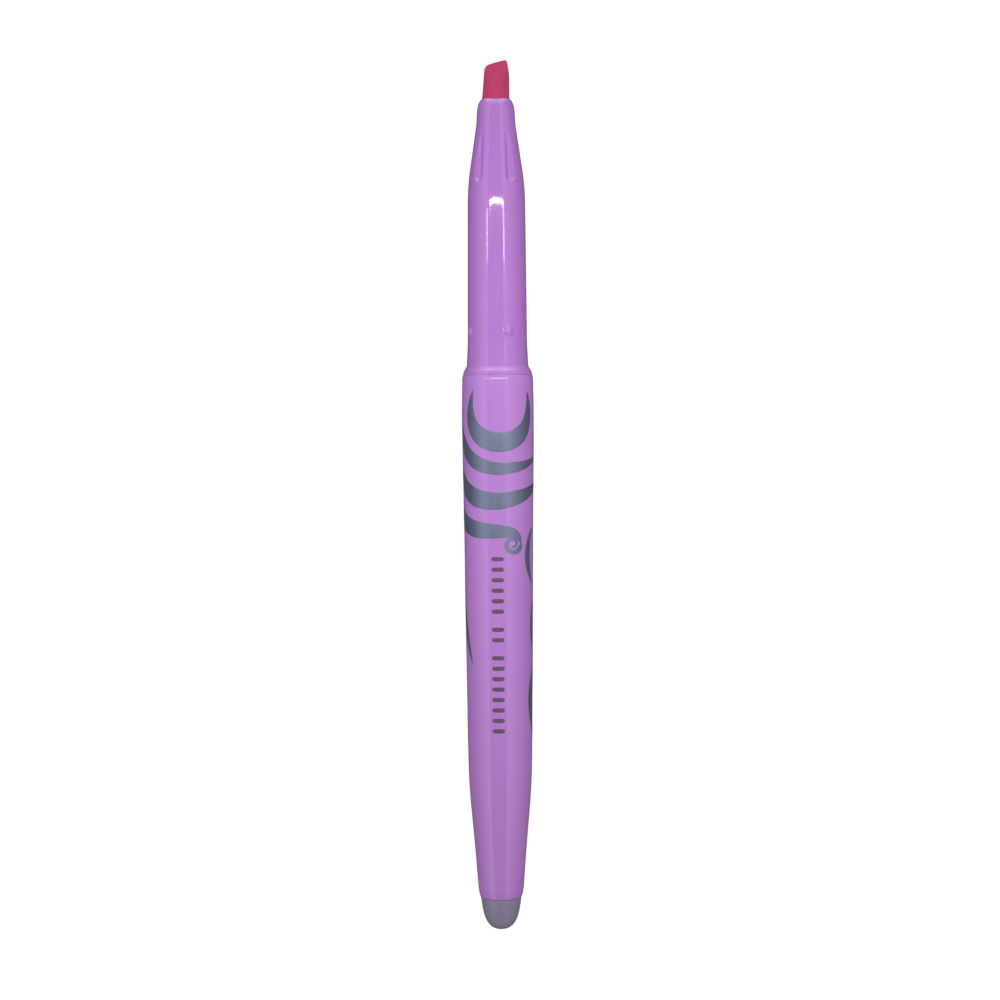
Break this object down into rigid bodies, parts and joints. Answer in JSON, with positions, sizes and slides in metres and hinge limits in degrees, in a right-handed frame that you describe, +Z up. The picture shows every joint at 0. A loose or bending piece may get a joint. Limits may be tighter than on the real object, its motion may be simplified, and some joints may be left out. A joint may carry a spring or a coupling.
{
  "type": "capped highlighter",
  "caption": "Slim felt-nib highlighter with its cap off: fluted nose, stepped cap sleeve, tapered barrel with a printed pattern, soft erasing tail; pulls apart for service.",
  "frame": {"origin": "bottom centre of the bounding box: on the surface the pen lies on, under the middle of its length", "axes": "+Y along the pen's axis towards the nib, +Z up from the surface it lies on, +X to the right with the nib pointing away"},
  "size_m": [0.0108, 0.132, 0.0108],
  "materials": {
    "fibre_nib": "matte",
    "section_plastic": "gloss",
    "barrel_plastic": "gloss",
    "print_ink": "satin",
    "reservoir_fibre": "matte",
    "clear_film": "gloss",
    "tube_plastic": "satin",
    "plug_plastic": "satin",
    "eraser_rubber": "satin"
  },
  "bodies": {
    "barrel": {"barrel": "barrel_plastic", "ink_reservoir": "reservoir_fibre", "reservoir_film": "clear_film", "breather_tube": "tube_plastic", "tail_plug": "plug_plastic"},
    "section": {"front_section": "section_plastic"},
    "nib": {"chisel_nib": "fibre_nib"},
    "eraser": {"eraser": "eraser_rubber"}
  },
  "joints": [
    {"name": "section_pull", "type": "slide", "parent": "barrel", "child": "section", "axis": [0, 1, 0], "range_m": [0, 0.033]},
    {"name": "nib_pull", "type": "slide", "parent": "section", "child": "nib", "axis": [0, 1, 0], "range_m": [0, 0.029]},
    {"name": "eraser_pull", "type": "slide", "parent": "barrel", "child": "eraser", "axis": [0, -1, 0], "range_m": [0, 0.014]}
  ]
}
